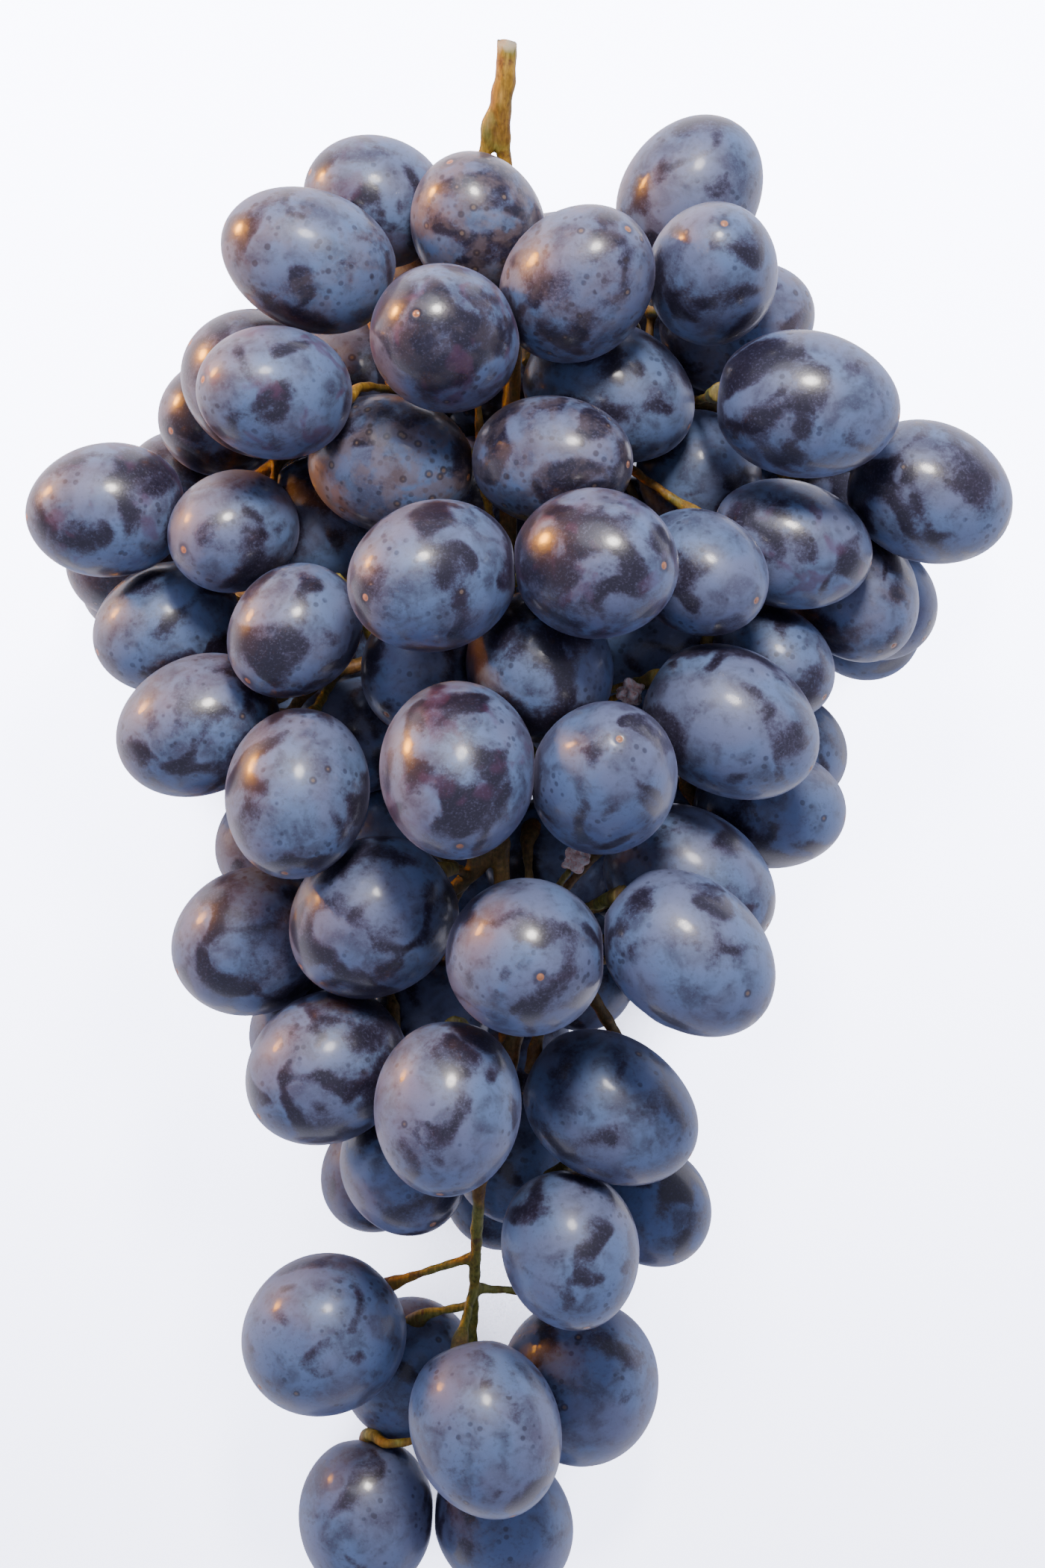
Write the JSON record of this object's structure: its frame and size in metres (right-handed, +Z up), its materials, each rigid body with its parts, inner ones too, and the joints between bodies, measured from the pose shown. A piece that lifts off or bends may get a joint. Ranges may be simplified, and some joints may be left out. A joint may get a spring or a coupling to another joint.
{
  "type": "grape bunch",
  "caption": "Bunch of blue-black grapes lying on its side: oval berries with a pale waxy bloom, in tight sprays along one branching stem with a cut end",
  "frame": {"origin": "centre of the bunch's box, on the surface it lies on", "axes": "+Y towards the cut end of the stem, +X across the bunch, +Z up from the surface"},
  "size_m": [0.143, 0.2328, 0.0928],
  "materials": {
    "berry": "satin blue-black skin under a pale, patchy waxy bloom",
    "stem": "matte yellow-green stalk turning brown at its knots and collars"
  },
  "bodies": {
    "root": {"main_stem": "stem", "spray_crown": "berry", "spray_crest": "berry", "spray_left_wing": "berry", "spray_right_wing": "berry", "spray_heart": "berry", "spray_left_side": "berry", "spray_right_side": "berry", "spray_left_low": "berry", "spray_right_low": "berry", "spray_waist": "berry", "spray_tail": "berry"}
  },
  "joints": []
}
